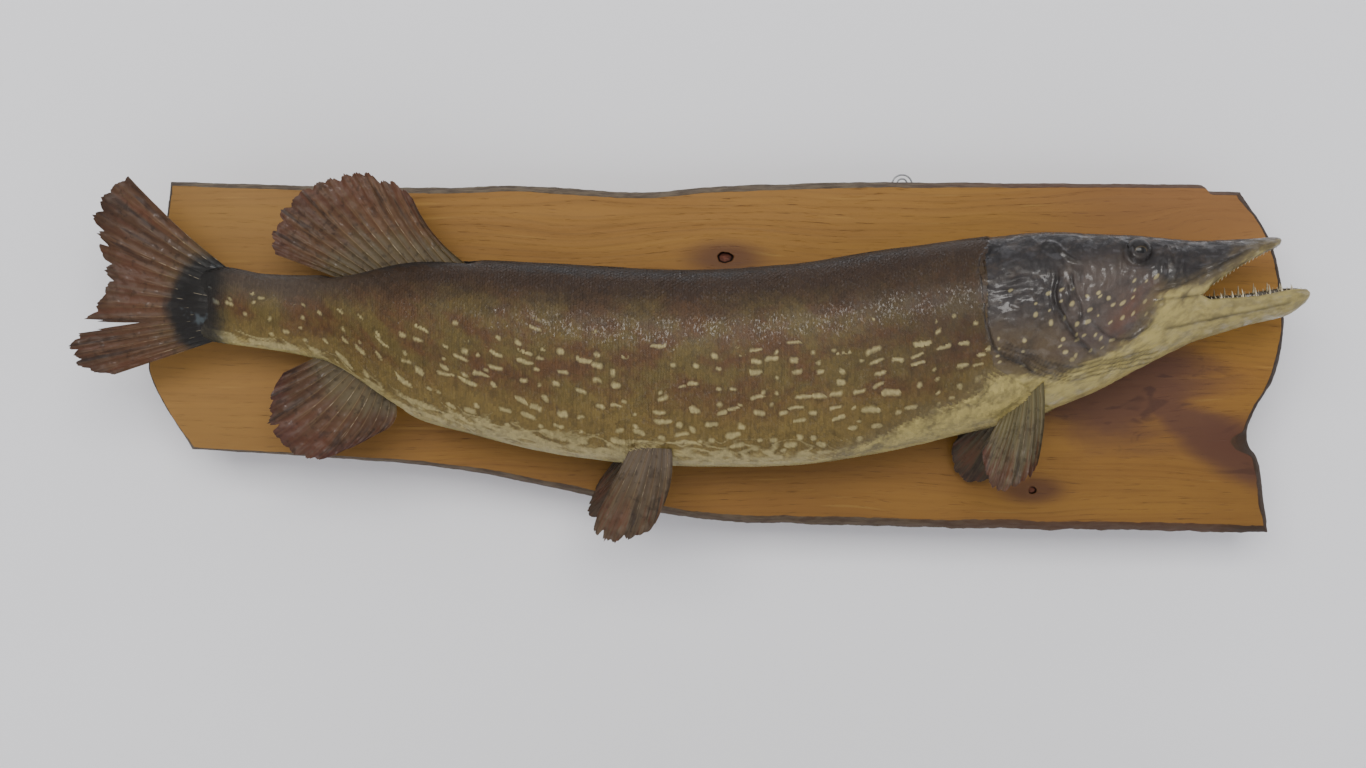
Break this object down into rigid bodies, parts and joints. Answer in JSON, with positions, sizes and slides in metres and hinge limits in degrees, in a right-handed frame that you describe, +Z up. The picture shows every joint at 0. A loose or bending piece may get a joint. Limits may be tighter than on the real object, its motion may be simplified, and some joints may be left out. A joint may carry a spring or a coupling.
{
  "type": "mounted pike",
  "caption": "Life-size taxidermy pike, mouth open and fins spread, fixed along a waney-edged oak wall board with a wire hanger.",
  "frame": {"origin": "middle of the board's flat back, which hangs against the wall", "axes": "+X along the board towards the fish's head, +Y out of the board's back into the wall, +Z up"},
  "size_m": [0.995, 0.1302, 0.3015],
  "materials": {
    "oak": "honey-brown oak, satin varnish",
    "steel": "dull galvanised wire",
    "skin": "varnished scaled fish skin",
    "fin": "varnished dry fin membrane",
    "eye": "polished dark glass eye"
  },
  "bodies": {
    "root": {"board": "oak", "hanger_wire": "steel", "hanger_nail_left": "steel", "hanger_nail_right": "steel", "tail_stalk": "skin", "trunk_rear": "skin", "trunk_middle": "skin", "trunk_front": "skin", "head": "skin", "gill_cover_right": "skin", "gill_cover_left": "skin", "upper_jaw": "skin", "lower_jaw": "skin", "eye_right": "eye", "eye_left": "eye", "tail_fin": "fin", "dorsal_fin": "fin", "anal_fin": "fin", "pectoral_fin_right": "fin", "pectoral_fin_left": "fin", "pelvic_fin_right": "fin", "pelvic_fin_left": "fin"}
  },
  "joints": []
}
